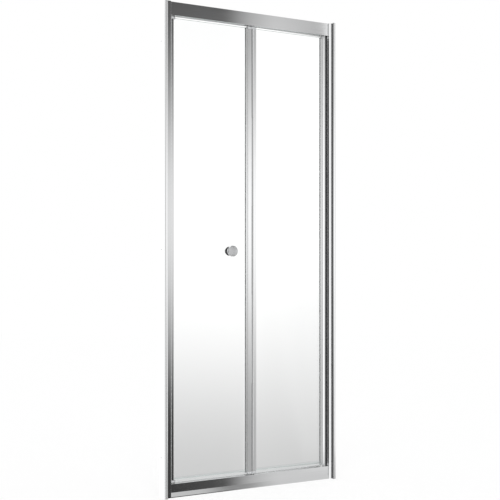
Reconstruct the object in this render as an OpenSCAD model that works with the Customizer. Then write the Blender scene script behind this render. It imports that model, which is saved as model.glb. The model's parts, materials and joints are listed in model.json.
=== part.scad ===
// Bifold shower door: two glazed leaves in a slim polished frame.
// The right leaf turns on a fixed pivot, the left leaf is hinged to it, and a guide near
// the closing edge slides along the rails, so the leaves fold inward together.
// +X runs along the rails, +Y points into the shower and +Z is up. The origin is at the
// middle of the frame's underside. Depths are counted from the front of the wall profiles.

/* [Overall] */
// Width over both wall profiles
door_w = 760; // [660:10:960]
// Height of the frame
door_h = 1850; // [1600:10:2000]

/* [Wall profiles] */
// Depth of a wall profile, front to back
wall_profile_d = 56; // [54:0.5:60]
// Width of the hollow front nosing
nosing_w = 12; // [9:0.5:13]
// Depth of the front nosing
nosing_d = 15; // [12:0.5:16]
// Radius of the nosing's front edges
nosing_r = 2; // [0.5:0.25:3]
// Width of the rear flange
rear_flange_w = 16; // [14:0.5:18]
// Wall thickness of a wall profile
profile_t = 1.5; // [1.2:0.1:1.8]
// Diameter of a wall screw hole
wall_hole_dia = 5; // [4:0.5:6]
// Distance between neighbouring wall screw holes
wall_hole_pitch = 775; // [600:5:780]

/* [Jambs] */
// Width of the left jamb seen beside its nosing
closing_reveal = 19.5; // [14:0.5:24]
// Width of the right jamb seen beside its nosing
pivot_reveal = 9.5; // [9:0.5:16]
// Gap between the wall and the rear edges of a jamb
jamb_wall_gap = 3; // [2:0.5:5]
// Wall thickness of a jamb
jamb_t = 1.5; // [1.2:0.1:2]
// Clearance between a jamb and its wall profile
slide_gap = 0.3; // [0.1:0.05:0.5]
// Distance between neighbouring jamb fixing screws
jamb_screw_pitch = 725; // [550:5:760]
// Shank diameter of a jamb fixing screw
jamb_screw_dia = 3.5; // [3:0.5:4]
// Diameter of a snap cap over a jamb fixing screw
screw_cap_dia = 10; // [9:0.5:11]
// Height of a snap cap
screw_cap_h = 3.5; // [3:0.25:5]

/* [Rails] */
// Height of each rail
rail_h = 50; // [44:1:60]
// Wall thickness of a rail
rail_t = 1.6; // [1.4:0.1:2]
// Distance of the top rail's front behind the jambs' front
top_rail_set = 7; // [5:0.5:8]
// Distance of the bottom rail's upper face behind the jambs' front
bottom_rail_set = 6; // [4:0.5:8]
// Height of the bottom rail's upright toe
toe_h = 3; // [2:0.5:6]
// Height at which the toe's slope meets the upper face
slope_top = 18; // [12:1:24]
// Width of the guide slot
slot_w = 14.4; // [13:0.2:15]
// Height of the ribs beside the guide slot
rib_h = 17; // [12:1:20]
// Bore of a screw port
port_bore = 3.8; // [3:0.2:4.2]
// Outer diameter of a screw port
port_dia = 7; // [6.4:0.2:7.6]
// Length of a corner screw
corner_screw_l = 18; // [12:1:30]

/* [Leaves] */
// Gap between a leaf and each rail
leaf_gap = 4; // [3:0.5:6]
// Gap between the closing stile and the left jamb
closing_gap = 5.2; // [5:0.2:7]
// Gap between the pivot stile and the right jamb
pivot_gap = 14; // [13.5:0.5:16]
// Gap between the two fold stiles
fold_gap = 5; // [4.5:0.5:5.5]
// Distance of the fold line right of the rails' middle
fold_offset = 1.7; // [0:0.1:3]
// Distance of the stiles' front behind the top rail's front
leaf_set = 4.2; // [4:0.1:5]
// Thickness of the glass
glass_t = 5; // [4:0.5:6]
// Distance of the glass behind the stiles' front
glass_set = 18.5; // [18:0.5:19.5]
// Depth of glass held in each stile
glass_bite = 7; // [5:0.5:7.5]

/* [Stiles] */
// Depth of a stile, front to back
stile_d = 26; // [25.5:0.25:27]
// Width of the closing stile
closing_stile_w = 11.2; // [11:0.1:12.4]
// Width of the pivot stile
pivot_stile_w = 11.2; // [11:0.1:12.4]
// Width of the fold stile on the leading leaf
lead_fold_stile_w = 18.8; // [14:0.2:24]
// Width of the fold stile on the pivot leaf
pivot_fold_stile_w = 14; // [12:0.2:20]
// Wall thickness of a stile
stile_t = 1.4; // [1.2:0.1:1.5]
// Radius of a stile's corners
stile_r = 1.2; // [0.4:0.1:1.4]
// Height of an end cap on a stile
cap_h = 8; // [7:0.5:12]
// Depth of an end cap's spigot inside the stile
spigot_h = 16; // [10:1:24]

/* [Hinge and pivots] */
// Diameter of the fold hinge's pin
hinge_pin_dia = 3.5; // [3:0.25:4]
// Outer diameter of the hinge knuckles
knuckle_dia = 7.5; // [7:0.25:8]
// Number of hinge knuckles along the fold
knuckle_count = 5; // [3:2:9]
// Distance of the hinge axis in front of the stiles' front
hinge_set = 0.5; // [0.4:0.1:1]
// Diameter of the pivot pins
pivot_pin_dia = 6; // [5:0.5:6.5]
// Depth of a pivot pin inside its block
pivot_reach = 22; // [16:1:26]
// Length of a pivot block along the rail
block_l = 26; // [20:1:30]
// Diameter of the pivot block screws
block_screw_dia = 4; // [3:0.5:5]
// Diameter of the guide pins
guide_pin_dia = 6; // [5:0.5:6.5]
// Width of the arm that carries a guide pin
guide_arm_w = 10; // [9:0.5:11]
// Thickness of the arm that carries a guide pin
guide_arm_t = 5; // [4:0.5:6]
// Length of a guide shoe
shoe_l = 24; // [18:1:32]
// Height of a guide shoe
shoe_h = 13; // [10:1:14]

/* [Seals] */
// Thickness of the glazing gasket on each face of the glass
gasket_t = 1; // [0.8:0.1:1.2]
// Width of gasket seen beside each stile
gasket_lip = 1; // [0.5:0.1:1.5]
// Wall thickness of the drip seals
drip_t = 1.2; // [1:0.1:1.4]
// Height of a drip seal on the glass
drip_grip_h = 8; // [6:0.5:14]
// Gap between a drip seal and the bottom rail
drip_gap = 0.8; // [0.5:0.1:2]
// Thickness of each magnetic strip
magnet_t = 1.4; // [1:0.1:1.6]
// Width of each magnetic strip
magnet_w = 12; // [8:0.5:14]
// Distance that the pivot-side seal stands off the jamb
side_seal_t = 3; // [2:0.1:3.2]
// Width of the pivot-side seal's foot
side_seal_w = 12; // [8:0.5:16]
// Thickness of the fin in the fold gap
fold_fin_t = 1.5; // [1:0.1:2.5]

/* [Knob] */
// Diameter of the knob's head
knob_dia = 42; // [36:1:46]
// Thickness of the knob's head
knob_head_t = 10; // [8:0.5:12]
// Distance that the knob stands off the glass
knob_reach = 33; // [28:0.5:34]
// Diameter of the knob's neck
knob_neck_dia = 17; // [15:0.5:20]
// Diameter of the knob's foot
knob_foot_dia = 25; // [22:0.5:28]
// Diameter of the black ring behind the knob
knob_ring_dia = 35; // [32:0.5:38]
// Thickness of the black ring
knob_ring_t = 4; // [2:0.5:5]
// Distance of the knob's middle left of the fold line
knob_inset = 94.2; // [60:0.2:140]
// Height of the knob's middle above the underside
knob_z = 921; // [800:1:1100]
// Diameter of the hole in the glass
knob_hole_dia = 12; // [10:0.5:14]
// Diameter of the plate behind the glass
back_plate_dia = 30; // [26:0.5:36]
// Thickness of the plate behind the glass
back_plate_t = 4; // [4:0.25:4.5]
// Diameter of the knob's screw
knob_screw_dia = 5; // [4:0.5:6]

/* [Fits] */
// Radial clearance of a pin that turns in a bore
run_gap = 0.05; // [0.03:0.01:0.08]
// Clearance around a fixed part that sits in another
seat_gap = 0.05; // [0.02:0.01:0.1]
// Clearance on each side of a guide shoe
shoe_gap = 0.3; // [0.2:0.05:0.4]
// Clearance between a hinge knuckle and the opposite stile
knuckle_gap = 0.35; // [0.3:0.05:0.5]

/* [Hidden] */
$fn = 48;

// Cutters run past the faces they open by this much
over = 1;

// Depths, from the front of the wall profiles
total_d = wall_profile_d + screw_cap_h;
jamb_front = nosing_d + slide_gap;
jamb_rear = wall_profile_d - profile_t - slide_gap;
top_rail_front = jamb_front + top_rail_set;
bottom_rail_front = jamb_front + bottom_rail_set;
rail_rear = jamb_rear;
track_y = (top_rail_front + rail_rear) / 2;
stile_front = top_rail_front + leaf_set;
stile_rear = stile_front + stile_d;
glass_front = stile_front + glass_set;
glass_rear = glass_front + glass_t;
glass_mid = (glass_front + glass_rear) / 2;
hinge_y = stile_front - hinge_set;
wall_hole_y = (nosing_d + wall_profile_d) / 2;

// Places along the rails
wall_x = door_w / 2;
left_face = -wall_x + nosing_w + closing_reveal;
right_face = wall_x - nosing_w - pivot_reveal;
rail_l = right_face - left_face;
fold_x = (left_face + right_face) / 2 + fold_offset;
closing_x = left_face + closing_gap;
lead_fold_x = fold_x - fold_gap / 2;
pivot_fold_x = fold_x + fold_gap / 2;
pivot_edge_x = right_face - pivot_gap;
pivot_x = pivot_edge_x - pivot_stile_w / 2;
guide_x = 2 * fold_x - pivot_x;
knob_x = fold_x - knob_inset;
jamb_screw_x = rear_flange_w / 2 + profile_t / 2;

// Heights
top_rail_z = door_h - rail_h;
leaf_bottom = rail_h + leaf_gap;
leaf_top = top_rail_z - leaf_gap;
stile_bottom = leaf_bottom + cap_h;
stile_top = leaf_top - cap_h;
stile_l = stile_top - stile_bottom;
glass_top_gap = 1;
glass_bottom = stile_bottom;
glass_top = leaf_top - glass_top_gap;
glass_h = glass_top - glass_bottom;
mid_z = door_h / 2;
block_screw_inset = 12;
shoe_inset = 2;

// Stile details
glass_slot_w = glass_t + 2 * gasket_t;
glass_slot_d = glass_bite + 1;
stile_cavity_d = glass_set - gasket_t - 2 * stile_t;

// Screw ports sit in the rails' corners and overlap their walls a little
port_sink = 0.6;
port_inset = rail_t + port_dia / 2 - port_sink;
screw_dia = port_bore - 2 * seat_gap;
screw_head_dia = 6.4;
screw_head_h = 2.2;
head_room = 0.2;
rear_port_inset = max(port_inset, jamb_t + screw_head_dia / 2 + head_room);
jamb_screw_l = 9;
block_screw_bite = 5;

// Hinge
knuckle_l = stile_l / knuckle_count;
knuckle_slot = 0.6;

// Knob
bush_bore_gap = 0.1;
inner_washer_t = 1.5;
knob_screw_bite = 12;
knob_edge_r = 1.6;
knob_screw_head_dia = knob_screw_dia + 5;
knob_screw_head_h = 2.5;
plate_rear = glass_rear + inner_washer_t + back_plate_t;

// Puts what is drawn by depth into the frame, whose middle depth is zero
module in_frame() {
    translate([0, -total_d / 2, 0]) children();
}

// A rectangle with four round corners, its corner at the origin
module rounded_rect(w, d, r) {
    translate([r, 0]) square([w - 2 * r, d]);
    translate([0, r]) square([w, d - 2 * r]);
    for (x = [r, w - r], y = [r, d - r])
        translate([x, y]) circle(r);
}

// Runs a profile drawn in depth and height along the rails
module along_x(x0, length) {
    translate([x0, 0, 0]) rotate([90, 0, 90]) linear_extrude(length) children();
}

// A round solid along X that starts at x0
module rod_x(dia, x0, length, y, z) {
    translate([x0, y, z]) rotate([0, 90, 0]) cylinder(d = dia, h = length);
}

// A round solid along Y that starts at depth y0
module rod_y(dia, y0, length, x, z) {
    translate([x, y0, z]) rotate([-90, 0, 0]) cylinder(d = dia, h = length);
}

// A pan-head screw along +Z: the head's seat is at zero and the shank points down
module pan_screw(dia, length) {
    recess_l = 4;
    recess_w = 0.9;
    recess_h = 1.2;
    difference() {
        union() {
            translate([0, 0, -length]) cylinder(d = dia, h = length);
            cylinder(d = screw_head_dia, h = screw_head_h / 2);
            translate([0, 0, screw_head_h / 2])
                cylinder(d1 = screw_head_dia, d2 = screw_head_dia - 2, h = screw_head_h / 2);
        }
        for (turn = [0, 90])
            rotate([0, 0, turn])
                translate([-recess_l / 2, -recess_w / 2, screw_head_h - recess_h])
                    cube([recess_l, recess_w, recess_h + over]);
    }
}

// ---- Frame ----

// Wall profile section: a nosing, a web against the wall and a rear flange
module wall_profile_section() {
    difference() {
        union() {
            translate([nosing_r, 0]) square([nosing_w - 2 * nosing_r, nosing_d]);
            translate([0, nosing_r]) square([nosing_w, nosing_d - nosing_r]);
            for (x = [nosing_r, nosing_w - nosing_r])
                translate([x, nosing_r]) circle(nosing_r);
            translate([0, nosing_r]) square([profile_t, wall_profile_d - nosing_r]);
            translate([0, wall_profile_d - profile_t]) square([rear_flange_w, profile_t]);
        }
        translate([profile_t, profile_t])
            square([nosing_w - 2 * profile_t, nosing_d - 2 * profile_t]);
    }
}

// Left wall profile, with holes for the wall screws and the jamb screws
module wall_profile() {
    in_frame() translate([-wall_x, 0, 0]) difference() {
        linear_extrude(door_h) wall_profile_section();
        for (step = [-1, 0, 1]) {
            rod_x(wall_hole_dia, -over, profile_t + 2 * over, wall_hole_y,
                mid_z + step * wall_hole_pitch);
            rod_y(jamb_screw_dia + 2 * seat_gap, wall_profile_d - profile_t - over,
                profile_t + 2 * over, jamb_screw_x, mid_z + step * jamb_screw_pitch);
        }
    }
}

module left_wall_profile() {
    color("silver") wall_profile();
}

module right_wall_profile() {
    color("silver") mirror([1, 0, 0]) wall_profile();
}

// Depth and height of the four screw ports at one end of the rails
function ports() = [
    [top_rail_front + port_inset, door_h - port_inset],
    [rail_rear - rear_port_inset, door_h - port_inset],
    [bottom_rail_front + port_inset, port_inset],
    [rail_rear - rear_port_inset, port_inset]
];

// Left jamb: a channel open to the wall that slides in the wall profile
module jamb(reveal) {
    jamb_d = jamb_rear - jamb_front;
    back_x = jamb_wall_gap - wall_x;
    flange_w = nosing_w + reveal - jamb_wall_gap;
    in_frame() difference() {
        linear_extrude(door_h) difference() {
            translate([back_x, jamb_front]) square([flange_w, jamb_d]);
            translate([back_x - over, jamb_front + jamb_t])
                square([flange_w - jamb_t + over, jamb_d - 2 * jamb_t]);
        }
        for (port = ports())
            rod_x(port_bore + 2 * seat_gap, back_x + flange_w - jamb_t - over, jamb_t + 2 * over,
                port[0], port[1]);
        for (step = [-1, 0, 1])
            rod_y(jamb_screw_dia + 2 * seat_gap, jamb_rear - jamb_t - over,
                jamb_t + 2 * over, jamb_screw_x - wall_x, mid_z + step * jamb_screw_pitch);
    }
}

module left_jamb() {
    color("silver") jamb(closing_reveal);
}

module right_jamb() {
    color("silver") mirror([1, 0, 0]) jamb(pivot_reveal);
}

// One screw port, as a disc to add or as its bore to cut
module port_disc(port) {
    translate(port) circle(d = port_dia);
}

module port_hole(port) {
    translate(port) circle(d = port_bore);
}

module top_rail() {
    rail_d = rail_rear - top_rail_front;
    color("silver") in_frame() difference() {
        along_x(left_face, rail_l) difference() {
            union() {
                difference() {
                    translate([top_rail_front, top_rail_z]) square([rail_d, rail_h]);
                    translate([top_rail_front + rail_t, top_rail_z + rail_t])
                        square([rail_d - 2 * rail_t, rail_h - 2 * rail_t]);
                }
                for (side = [-1, 1])
                    translate([track_y + side * (slot_w + rail_t) / 2 - rail_t / 2, top_rail_z])
                        square([rail_t, rib_h]);
                port_disc(ports()[0]);
                port_disc(ports()[1]);
            }
            port_hole(ports()[0]);
            port_hole(ports()[1]);
            translate([track_y - slot_w / 2, top_rail_z - over]) square([slot_w, rail_t + 2 * over]);
        }
        rod_y(block_screw_dia + 2 * seat_gap, rail_rear - rail_t - over, rail_t + 2 * over,
            pivot_x, door_h - block_screw_inset);
    }
}

module bottom_rail() {
    color("silver") in_frame() difference() {
        along_x(left_face, rail_l) difference() {
            union() {
                difference() {
                    polygon([
                        [jamb_front, 0], [rail_rear, 0], [rail_rear, rail_h],
                        [bottom_rail_front, rail_h], [bottom_rail_front, slope_top],
                        [jamb_front, toe_h]
                    ]);
                    polygon([
                        [jamb_front + rail_t, rail_t], [rail_rear - rail_t, rail_t],
                        [rail_rear - rail_t, rail_h - rail_t],
                        [bottom_rail_front + rail_t, rail_h - rail_t],
                        [bottom_rail_front + rail_t, slope_top], [jamb_front + rail_t, toe_h]
                    ]);
                }
                for (side = [-1, 1])
                    translate([track_y + side * (slot_w + rail_t) / 2 - rail_t / 2, rail_h - rib_h])
                        square([rail_t, rib_h]);
                port_disc(ports()[2]);
                port_disc(ports()[3]);
            }
            port_hole(ports()[2]);
            port_hole(ports()[3]);
            translate([track_y - slot_w / 2, rail_h - rail_t - over])
                square([slot_w, rail_t + 2 * over]);
        }
        rod_y(block_screw_dia + 2 * seat_gap, rail_rear - rail_t - over, rail_t + 2 * over,
            pivot_x, block_screw_inset);
    }
}

// Screws through the jambs into the rails' ports
module corner_screws() {
    color("gray") in_frame() for (side = [0, 1], port = ports())
        mirror([side, 0, 0])
            translate([(side == 0 ? left_face : -right_face) - jamb_t, port[0], port[1]])
                rotate([0, -90, 0]) pan_screw(screw_dia, corner_screw_l);
}

// Screws that hold the jambs in the wall profiles, from inside the shower
module jamb_screws() {
    color("gray") in_frame() for (side = [0, 1], step = [-1, 0, 1])
        mirror([side, 0, 0])
            translate([jamb_screw_x - wall_x, wall_profile_d, mid_z + step * jamb_screw_pitch])
                rotate([-90, 0, 0]) pan_screw(jamb_screw_dia, jamb_screw_l);
}

// Snap caps over the jamb screws' heads
module jamb_screw_caps() {
    chamfer = 0.8;
    room = screw_head_dia / 2 + seat_gap;
    color("white") in_frame() for (side = [0, 1], step = [-1, 0, 1])
        mirror([side, 0, 0])
            translate([jamb_screw_x - wall_x, wall_profile_d, mid_z + step * jamb_screw_pitch])
                rotate([-90, 0, 0]) rotate_extrude() polygon([
                    [0, screw_head_h + seat_gap], [room, screw_head_h + seat_gap], [room, 0],
                    [screw_cap_dia / 2, 0], [screw_cap_dia / 2, screw_cap_h - chamfer],
                    [screw_cap_dia / 2 - chamfer, screw_cap_h], [0, screw_cap_h]
                ]);
}

// Block that fills the guide slot round a pivot pin
module pivot_block(z0, length, bore_z, screw_z) {
    block_w = slot_w - 2 * shoe_gap;
    bore_dia = pivot_pin_dia + 2 * run_gap;
    color("white") in_frame() difference() {
        translate([pivot_x - block_l / 2, track_y - block_w / 2, z0])
            cube([block_l, block_w, length]);
        translate([pivot_x, track_y, bore_z]) cylinder(d = bore_dia, h = pivot_reach + 2 * over);
        rod_y(block_screw_dia + 2 * seat_gap, track_y + block_w / 2 - block_screw_bite - over,
            block_screw_bite + 2 * over, pivot_x, screw_z);
    }
}

module top_pivot_block() {
    pivot_block(top_rail_z, rail_h - rail_t, top_rail_z - over, door_h - block_screw_inset);
}

module bottom_pivot_block() {
    pivot_block(rail_t, rail_h - rail_t, rail_h - pivot_reach - over, block_screw_inset);
}

// Screws from inside the shower through the rails into the pivot blocks
module pivot_block_screws() {
    block_rear = track_y + slot_w / 2 - shoe_gap;
    reach = rail_rear - block_rear + block_screw_bite;
    color("gray") in_frame() for (z = [block_screw_inset, door_h - block_screw_inset])
        translate([pivot_x, rail_rear, z]) rotate([-90, 0, 0]) pan_screw(block_screw_dia, reach);
}

module jamb_magnet_strip() {
    color("dimgray") in_frame()
        translate([left_face, glass_mid - magnet_w / 2, rail_h])
            cube([magnet_t, magnet_w, top_rail_z - rail_h]);
}

// Seal with a rounded lip beside the pivot stile
module pivot_side_seal() {
    foot_t = 1;
    bulb_r = side_seal_t - foot_t;
    color("black") in_frame()
        translate([right_face, track_y, rail_h]) linear_extrude(top_rail_z - rail_h) {
            translate([-foot_t, -side_seal_w / 2]) square([foot_t, side_seal_w]);
            translate([-foot_t, 0]) intersection() {
                circle(bulb_r);
                translate([-bulb_r, -bulb_r]) square([bulb_r, 2 * bulb_r]);
            }
        }
}

// ---- Stiles ----

// Stile section: outer edge at x = 0, glass side at x = w, front at y = 0
module stile_section(w) {
    difference() {
        rounded_rect(w, stile_d, stile_r);
        translate([stile_t, stile_t]) square([w - 2 * stile_t, stile_cavity_d]);
        translate([w - glass_slot_d, glass_set - gasket_t])
            square([glass_slot_d + over, glass_slot_w]);
    }
}

// A stile placed by its outer edge; way is 1 where its glass is to the right, otherwise -1
module plain_stile(edge_x, way, w) {
    color("silver") in_frame() translate([0, 0, stile_bottom]) linear_extrude(stile_l)
        translate([edge_x, stile_front]) mirror([way < 0 ? 1 : 0, 0]) stile_section(w);
}

// Knuckles with an even number belong to the pivot leaf, the others to the leading leaf
module fold_stile(edge_x, way, w, parity) {
    color("silver") in_frame() translate([0, 0, stile_bottom]) difference() {
        union() {
            difference() {
                linear_extrude(stile_l) translate([edge_x, stile_front])
                    mirror([way < 0 ? 1 : 0, 0]) stile_section(w);
                for (k = [0 : knuckle_count - 1])
                    if (k % 2 != parity)
                        translate([fold_x, hinge_y, k * knuckle_l - knuckle_slot])
                            cylinder(d = knuckle_dia + 2 * knuckle_gap, h = knuckle_l + knuckle_slot);
            }
            for (k = [0 : knuckle_count - 1])
                if (k % 2 == parity)
                    translate([fold_x, hinge_y, k * knuckle_l])
                        cylinder(d = knuckle_dia, h = knuckle_l - knuckle_slot);
        }
        translate([fold_x, hinge_y, -over])
            cylinder(d = hinge_pin_dia + 2 * run_gap, h = stile_l + 2 * over);
    }
}

// End cap: a plate the shape of the stile and a spigot in its front cavity.
// up is 1 for a cap on top of the stile and 0 for one below it. The glass runs up
// through a slot in the top caps, and stands on the bottom ones.
module end_cap(edge_x, way, w, up) {
    plate_z = up == 1 ? stile_top : leaf_bottom;
    spigot_z = up == 1 ? stile_top - spigot_h : stile_bottom - over;
    translate([edge_x, stile_front, 0]) mirror([way < 0 ? 1 : 0, 0, 0]) {
        translate([0, 0, plate_z]) linear_extrude(cap_h) difference() {
            rounded_rect(w, stile_d, stile_r);
            if (up == 1)
                translate([w - glass_slot_d, glass_set - gasket_t])
                    square([glass_slot_d + over, glass_slot_w]);
        }
        translate([stile_t + seat_gap, stile_t + seat_gap, spigot_z])
            cube([
                w - 2 * stile_t - 2 * seat_gap, stile_cavity_d - 2 * seat_gap, spigot_h + over
            ]);
    }
}

// ---- Pivot leaf ----

module pivot_glass() {
    left = pivot_fold_x + pivot_fold_stile_w - glass_bite;
    right = pivot_edge_x - pivot_stile_w + glass_bite;
    color("lightcyan", 0.35) in_frame()
        translate([left, glass_front, glass_bottom]) cube([right - left, glass_t, glass_h]);
}

module pivot_stile() {
    plain_stile(pivot_edge_x, -1, pivot_stile_w);
}

module pivot_fold_stile() {
    fold_stile(pivot_fold_x, 1, pivot_fold_stile_w, 0);
}

// Pivot stile's end cap, bored for the pivot pin
module pivot_cap(up) {
    color("lightgray") in_frame() difference() {
        end_cap(pivot_edge_x, -1, pivot_stile_w, up);
        translate([pivot_x, track_y, up == 1 ? stile_top - spigot_h - over : leaf_bottom - over])
            cylinder(d = pivot_pin_dia + 2 * seat_gap, h = cap_h + spigot_h + 2 * over);
    }
}

module pivot_stile_top_cap() {
    pivot_cap(1);
}

module pivot_stile_bottom_cap() {
    pivot_cap(0);
}

// Fold stile's end cap, with a round lid over the hinge pin
module pivot_fold_cap(up) {
    color("lightgray") in_frame() {
        end_cap(pivot_fold_x, 1, pivot_fold_stile_w, up);
        translate([fold_x, hinge_y, up == 1 ? stile_top : leaf_bottom])
            cylinder(d = knuckle_dia, h = cap_h);
    }
}

module pivot_fold_top_cap() {
    pivot_fold_cap(1);
}

module pivot_fold_bottom_cap() {
    pivot_fold_cap(0);
}

module top_pivot_pin() {
    start = stile_top - spigot_h;
    color("gainsboro") in_frame() translate([pivot_x, track_y, start])
        cylinder(d = pivot_pin_dia, h = top_rail_z + pivot_reach - start);
}

module bottom_pivot_pin() {
    start = rail_h - pivot_reach;
    color("gainsboro") in_frame() translate([pivot_x, track_y, start])
        cylinder(d = pivot_pin_dia, h = stile_bottom + spigot_h - start);
}

// Washer that carries the pivot leaf on the bottom block
module pivot_thrust_washer() {
    washer_dia = slot_w - 2 * shoe_gap - 1;
    color("white") in_frame() translate([pivot_x, track_y, rail_h + run_gap]) difference() {
        cylinder(d = washer_dia, h = leaf_gap - run_gap);
        translate([0, 0, -over]) cylinder(d = pivot_pin_dia + 2 * seat_gap, h = leaf_gap + 2 * over);
    }
}

module hinge_pin() {
    color("gainsboro") in_frame() translate([fold_x, hinge_y, stile_bottom])
        cylinder(d = hinge_pin_dia, h = stile_l);
}

// Channel-shaped gasket between the glass and one stile
module gasket(edge_x, way, w) {
    arm = gasket_t - 2 * seat_gap;
    depth = glass_slot_d - seat_gap + gasket_lip;
    translate([edge_x, stile_front + glass_set - gasket_t + seat_gap, glass_bottom])
        linear_extrude(glass_h) mirror([way < 0 ? 1 : 0, 0])
            translate([w + gasket_lip - depth, 0]) difference() {
                square([depth, glass_slot_w - 2 * seat_gap]);
                translate([glass_slot_d - glass_bite - 2 * seat_gap, arm])
                    square([depth, glass_t + 2 * seat_gap]);
            }
}

module pivot_leaf_gaskets() {
    color("darkgray") in_frame() {
        gasket(pivot_fold_x, 1, pivot_fold_stile_w);
        gasket(pivot_edge_x, -1, pivot_stile_w);
    }
}

// Seal that grips the glass's lower edge and hangs two fins over the rail
module drip_seal(left, right) {
    fin_t = 0.8;
    grip_w = glass_t + 2 * drip_t;
    base_z = glass_bottom - drip_t - seat_gap;
    fin_z = rail_h + drip_gap;
    end_gap = gasket_lip + 0.3;
    color("whitesmoke", 0.6) in_frame()
        along_x(left + end_gap, right - left - 2 * end_gap) {
            difference() {
                translate([glass_front - drip_t, base_z])
                    square([grip_w, drip_grip_h + drip_t]);
                translate([glass_front - seat_gap, base_z + drip_t])
                    square([glass_t + 2 * seat_gap, drip_grip_h + over]);
            }
            for (y = [glass_front - drip_t, glass_rear + drip_t - fin_t])
                translate([y, fin_z]) square([fin_t, base_z - fin_z + drip_t / 2]);
        }
}

module pivot_drip_seal() {
    drip_seal(pivot_fold_x + pivot_fold_stile_w, pivot_edge_x - pivot_stile_w);
}

// Fin that closes the fold gap behind the hinge
module fold_seal() {
    foot_w = 6;
    foot_t = 1;
    tip_gap = 0.4;
    fin_l = fold_gap - tip_gap;
    color("darkgray") in_frame() translate([0, 0, stile_bottom]) linear_extrude(stile_l) {
        translate([pivot_fold_x - foot_t, glass_mid - foot_w / 2]) square([foot_t, foot_w]);
        translate([pivot_fold_x - fin_l, glass_mid - fold_fin_t / 2]) square([fin_l, fold_fin_t]);
    }
}

// ---- Leading leaf ----

module lead_glass() {
    left = closing_x + closing_stile_w - glass_bite;
    right = lead_fold_x - lead_fold_stile_w + glass_bite;
    color("lightcyan", 0.35) in_frame() difference() {
        translate([left, glass_front, glass_bottom]) cube([right - left, glass_t, glass_h]);
        rod_y(knob_hole_dia, glass_front - over, glass_t + 2 * over, knob_x, knob_z);
    }
}

module closing_stile() {
    plain_stile(closing_x, 1, closing_stile_w);
}

module lead_fold_stile() {
    fold_stile(lead_fold_x, -1, lead_fold_stile_w, 1);
}

// Closing stile's end cap, with an arm that reaches over the glass to the guide pin
module closing_cap(up) {
    arm_z = up == 1 ? leaf_top - guide_arm_t : leaf_bottom;
    arm_x = closing_x + closing_stile_w / 2;
    color("lightgray") in_frame() difference() {
        union() {
            end_cap(closing_x, 1, closing_stile_w, up);
            translate([arm_x, track_y - guide_arm_w / 2, arm_z])
                cube([guide_x - arm_x, guide_arm_w, guide_arm_t]);
            translate([guide_x, track_y, arm_z]) cylinder(d = guide_arm_w, h = guide_arm_t);
        }
        translate([guide_x, track_y, arm_z - over])
            cylinder(d = guide_pin_dia + 2 * seat_gap, h = guide_arm_t + 2 * over);
    }
}

module closing_stile_top_cap() {
    closing_cap(1);
}

module closing_stile_bottom_cap() {
    closing_cap(0);
}

// Fold stile's end cap, cut back round the hinge pin's lid
module lead_fold_cap(up) {
    color("lightgray") in_frame() difference() {
        end_cap(lead_fold_x, -1, lead_fold_stile_w, up);
        translate([fold_x, hinge_y, up == 1 ? stile_top - spigot_h : leaf_bottom - over])
            cylinder(d = knuckle_dia + 2 * knuckle_gap, h = cap_h + spigot_h + over);
    }
}

module lead_fold_top_cap() {
    lead_fold_cap(1);
}

module lead_fold_bottom_cap() {
    lead_fold_cap(0);
}

// Guide pin with a flat head against its arm; up is 1 for the top pin
module guide_pin(up) {
    head_dia = guide_pin_dia + 3;
    head_t = 1.5;
    start = up == 1 ? leaf_top - guide_arm_t : rail_h - shoe_inset - shoe_h;
    end = up == 1 ? top_rail_z + shoe_inset + shoe_h : leaf_bottom + guide_arm_t;
    color("gainsboro") in_frame() translate([guide_x, track_y, 0]) {
        translate([0, 0, start]) cylinder(d = guide_pin_dia, h = end - start);
        translate([0, 0, up == 1 ? start - head_t : end]) cylinder(d = head_dia, h = head_t);
    }
}

module top_guide_pin() {
    guide_pin(1);
}

module bottom_guide_pin() {
    guide_pin(0);
}

module lead_leaf_gaskets() {
    color("darkgray") in_frame() {
        gasket(closing_x, 1, closing_stile_w);
        gasket(lead_fold_x, -1, lead_fold_stile_w);
    }
}

module lead_drip_seal() {
    drip_seal(closing_x + closing_stile_w, lead_fold_x - lead_fold_stile_w);
}

module leaf_magnet_strip() {
    color("dimgray") in_frame()
        translate([closing_x - magnet_t, glass_mid - magnet_w / 2, stile_bottom])
            cube([magnet_t, magnet_w, stile_l]);
}

// ---- Knob ----

// Places a turned part on the knob's axis, its Z pointing out of the glass's front
module on_knob_axis() {
    translate([knob_x, glass_front, knob_z]) rotate([90, 0, 0]) children();
}

// Knob: a thick disc on a waisted neck that flares to a foot on the black ring
module knob() {
    head_z = knob_reach - knob_head_t;
    flare_h = 4;
    color("gainsboro") in_frame() on_knob_axis() difference() {
        rotate_extrude() {
            translate([0, head_z]) square([knob_dia / 2 - knob_edge_r, knob_head_t]);
            translate([0, head_z + knob_edge_r])
                square([knob_dia / 2, knob_head_t - 2 * knob_edge_r]);
            for (z = [head_z + knob_edge_r, knob_reach - knob_edge_r])
                translate([knob_dia / 2 - knob_edge_r, z]) circle(knob_edge_r);
            polygon([
                [0, knob_ring_t], [knob_foot_dia / 2, knob_ring_t],
                [knob_foot_dia / 2, knob_ring_t + 1], [knob_neck_dia / 2, knob_ring_t + flare_h],
                [knob_neck_dia / 2, head_z - flare_h], [knob_foot_dia / 2, head_z + 0.5],
                [0, head_z + 0.5]
            ]);
        }
        translate([0, 0, -over])
            cylinder(d = knob_screw_dia + 2 * seat_gap, h = knob_ring_t + knob_screw_bite + over);
    }
}

// Black ring between the knob and the glass
module knob_ring() {
    color("black") in_frame() on_knob_axis() difference() {
        cylinder(d = knob_ring_dia, h = knob_ring_t);
        translate([0, 0, -over])
            cylinder(d = knob_screw_dia + 2 * seat_gap, h = knob_ring_t + 2 * over);
    }
}

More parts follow.
